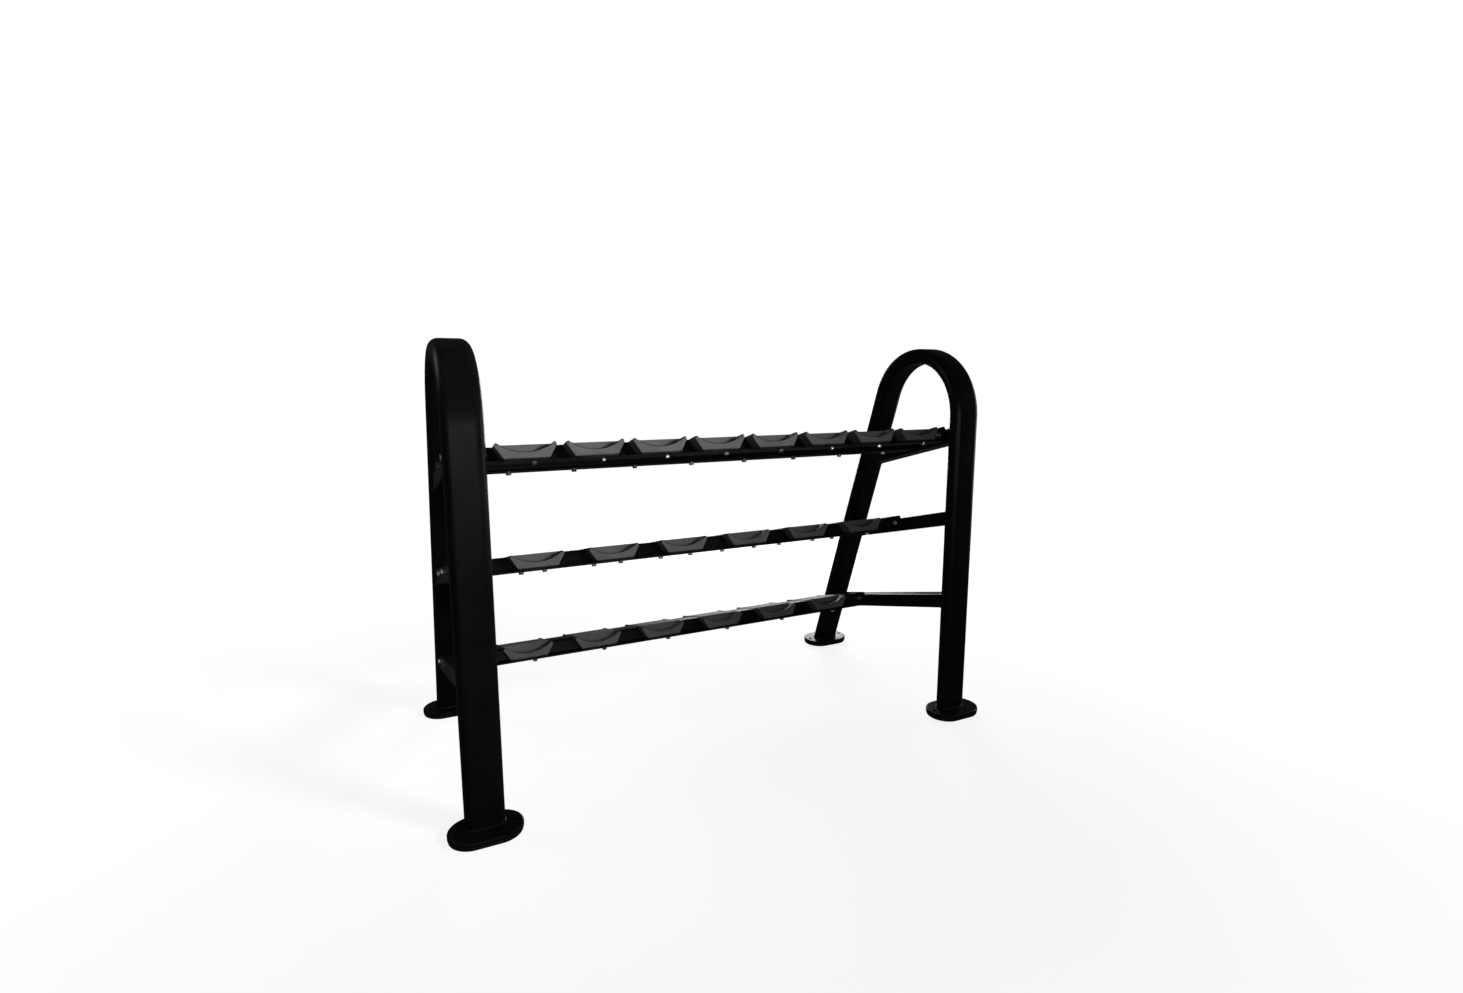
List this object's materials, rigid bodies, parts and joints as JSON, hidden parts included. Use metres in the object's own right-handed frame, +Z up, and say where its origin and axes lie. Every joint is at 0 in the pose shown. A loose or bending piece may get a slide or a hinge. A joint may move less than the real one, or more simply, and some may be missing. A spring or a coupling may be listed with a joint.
{
  "type": "saddle dumbbell rack",
  "caption": "Free-standing tiered dumbbell rack: arched flat-oval end frames on oval feet carry sloping trays of moulded cradle saddles.",
  "frame": {"origin": "on the floor, at the bottom centre of the whole rack", "axes": "+X along the rack, +Y to the straight rear legs, -Y to the user at the raked legs, +Z up"},
  "size_m": [1.738, 0.917, 1.246],
  "materials": {
    "frame_powder_coat": "satin",
    "tray_powder_coat": "satin",
    "saddle_moulding": "matte",
    "foot_rubber": "matte",
    "saddle_pad_rubber": "matte",
    "zinc_hardware": "satin",
    "brass_inserts": "satin"
  },
  "bodies": {
    "root": {"left_end_frame": "frame_powder_coat", "left_rear_foot_plate": "frame_powder_coat", "left_rear_foot_pad": "foot_rubber", "left_front_foot_plate": "frame_powder_coat", "left_front_foot_pad": "foot_rubber", "right_end_frame": "frame_powder_coat", "right_rear_foot_plate": "frame_powder_coat", "right_rear_foot_pad": "foot_rubber", "right_front_foot_plate": "frame_powder_coat", "right_front_foot_pad": "foot_rubber", "top_left_crossbar": "frame_powder_coat", "top_left_end_plate": "tray_powder_coat", "top_right_crossbar": "frame_powder_coat", "top_right_end_plate": "tray_powder_coat", "top_tray": "tray_powder_coat", "top_saddle_1": "saddle_moulding", "top_saddle_2": "saddle_moulding", "top_saddle_3": "saddle_moulding", "top_saddle_4": "saddle_moulding", "top_saddle_5": "saddle_moulding", "top_saddle_6": "saddle_moulding", "top_saddle_7": "saddle_moulding", "top_saddle_8": "saddle_moulding", "top_saddle_pads": "saddle_pad_rubber", "top_saddle_bolts": "zinc_hardware", "top_saddle_washers": "zinc_hardware", "top_saddle_inserts": "brass_inserts", "middle_left_crossbar": "frame_powder_coat", "middle_left_end_plate": "tray_powder_coat", "middle_right_crossbar": "frame_powder_coat", "middle_right_end_plate": "tray_powder_coat", "middle_tray": "tray_powder_coat", "middle_saddle_1": "saddle_moulding", "middle_saddle_2": "saddle_moulding", "middle_saddle_3": "saddle_moulding", "middle_saddle_4": "saddle_moulding", "middle_saddle_5": "saddle_moulding", "middle_saddle_6": "saddle_moulding", "middle_saddle_pads": "saddle_pad_rubber", "middle_saddle_bolts": "zinc_hardware", "middle_saddle_washers": "zinc_hardware", "middle_saddle_inserts": "brass_inserts", "bottom_left_crossbar": "frame_powder_coat", "bottom_left_end_plate": "tray_powder_coat", "bottom_right_crossbar": "frame_powder_coat", "bottom_right_end_plate": "tray_powder_coat", "bottom_tray": "tray_powder_coat", "bottom_saddle_1": "saddle_moulding", "bottom_saddle_2": "saddle_moulding", "bottom_saddle_3": "saddle_moulding", "bottom_saddle_4": "saddle_moulding", "bottom_saddle_5": "saddle_moulding", "bottom_saddle_6": "saddle_moulding", "bottom_saddle_pads": "saddle_pad_rubber", "bottom_saddle_bolts": "zinc_hardware", "bottom_saddle_washers": "zinc_hardware", "bottom_saddle_inserts": "brass_inserts", "tray_end_bolts": "zinc_hardware", "tray_end_washers": "zinc_hardware", "tray_end_nuts": "zinc_hardware"}
  },
  "joints": []
}
